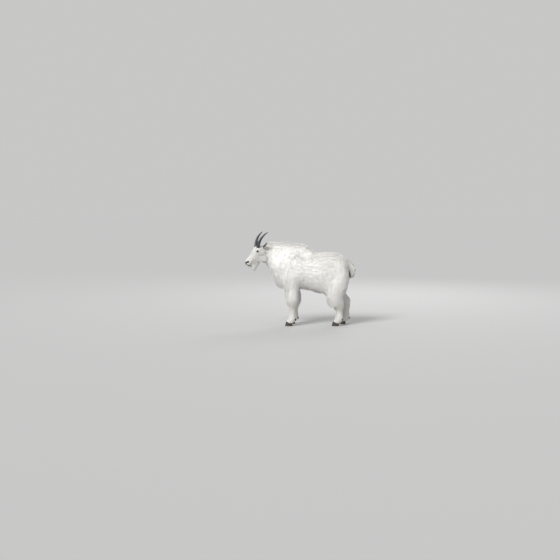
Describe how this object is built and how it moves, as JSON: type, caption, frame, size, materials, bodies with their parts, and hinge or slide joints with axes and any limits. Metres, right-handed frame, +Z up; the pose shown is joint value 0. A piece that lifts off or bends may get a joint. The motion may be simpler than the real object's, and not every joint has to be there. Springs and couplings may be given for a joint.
{
  "type": "mountain goat",
  "caption": "Standing adult mountain goat at life size, head turned to its left, long white winter coat with beard and breeches, slender dark horns, dark cloven hooves.",
  "frame": {"origin": "centre of the animal's bounding box at ground level, under the middle of the belly", "axes": "+Z up from the ground, -X the way the animal faces, -Y its left side"},
  "size_m": [1.3482, 0.4212, 1.1426],
  "materials": {
    "coat_white": "long matt hair",
    "horn_black": "satin horn",
    "hoof_dark": "matt horn",
    "eye_dark": "wet gloss"
  },
  "bodies": {
    "root": {"trunk": "coat_white", "neck": "coat_white", "tail": "coat_white", "head": "coat_white", "beard": "coat_white", "horn_left": "horn_black", "ear_left": "coat_white", "eye_left": "eye_dark", "horn_right": "horn_black", "ear_right": "coat_white", "eye_right": "eye_dark", "leg_front_left": "coat_white", "dewclaw_front_left_outer": "hoof_dark", "hoof_front_left_outer": "hoof_dark", "dewclaw_front_left_inner": "hoof_dark", "hoof_front_left_inner": "hoof_dark", "leg_front_right": "coat_white", "dewclaw_front_right_outer": "hoof_dark", "hoof_front_right_outer": "hoof_dark", "dewclaw_front_right_inner": "hoof_dark", "hoof_front_right_inner": "hoof_dark", "leg_hind_left": "coat_white", "dewclaw_hind_left_outer": "hoof_dark", "hoof_hind_left_outer": "hoof_dark", "dewclaw_hind_left_inner": "hoof_dark", "hoof_hind_left_inner": "hoof_dark", "leg_hind_right": "coat_white", "dewclaw_hind_right_outer": "hoof_dark", "hoof_hind_right_outer": "hoof_dark", "dewclaw_hind_right_inner": "hoof_dark", "hoof_hind_right_inner": "hoof_dark"}
  },
  "joints": []
}
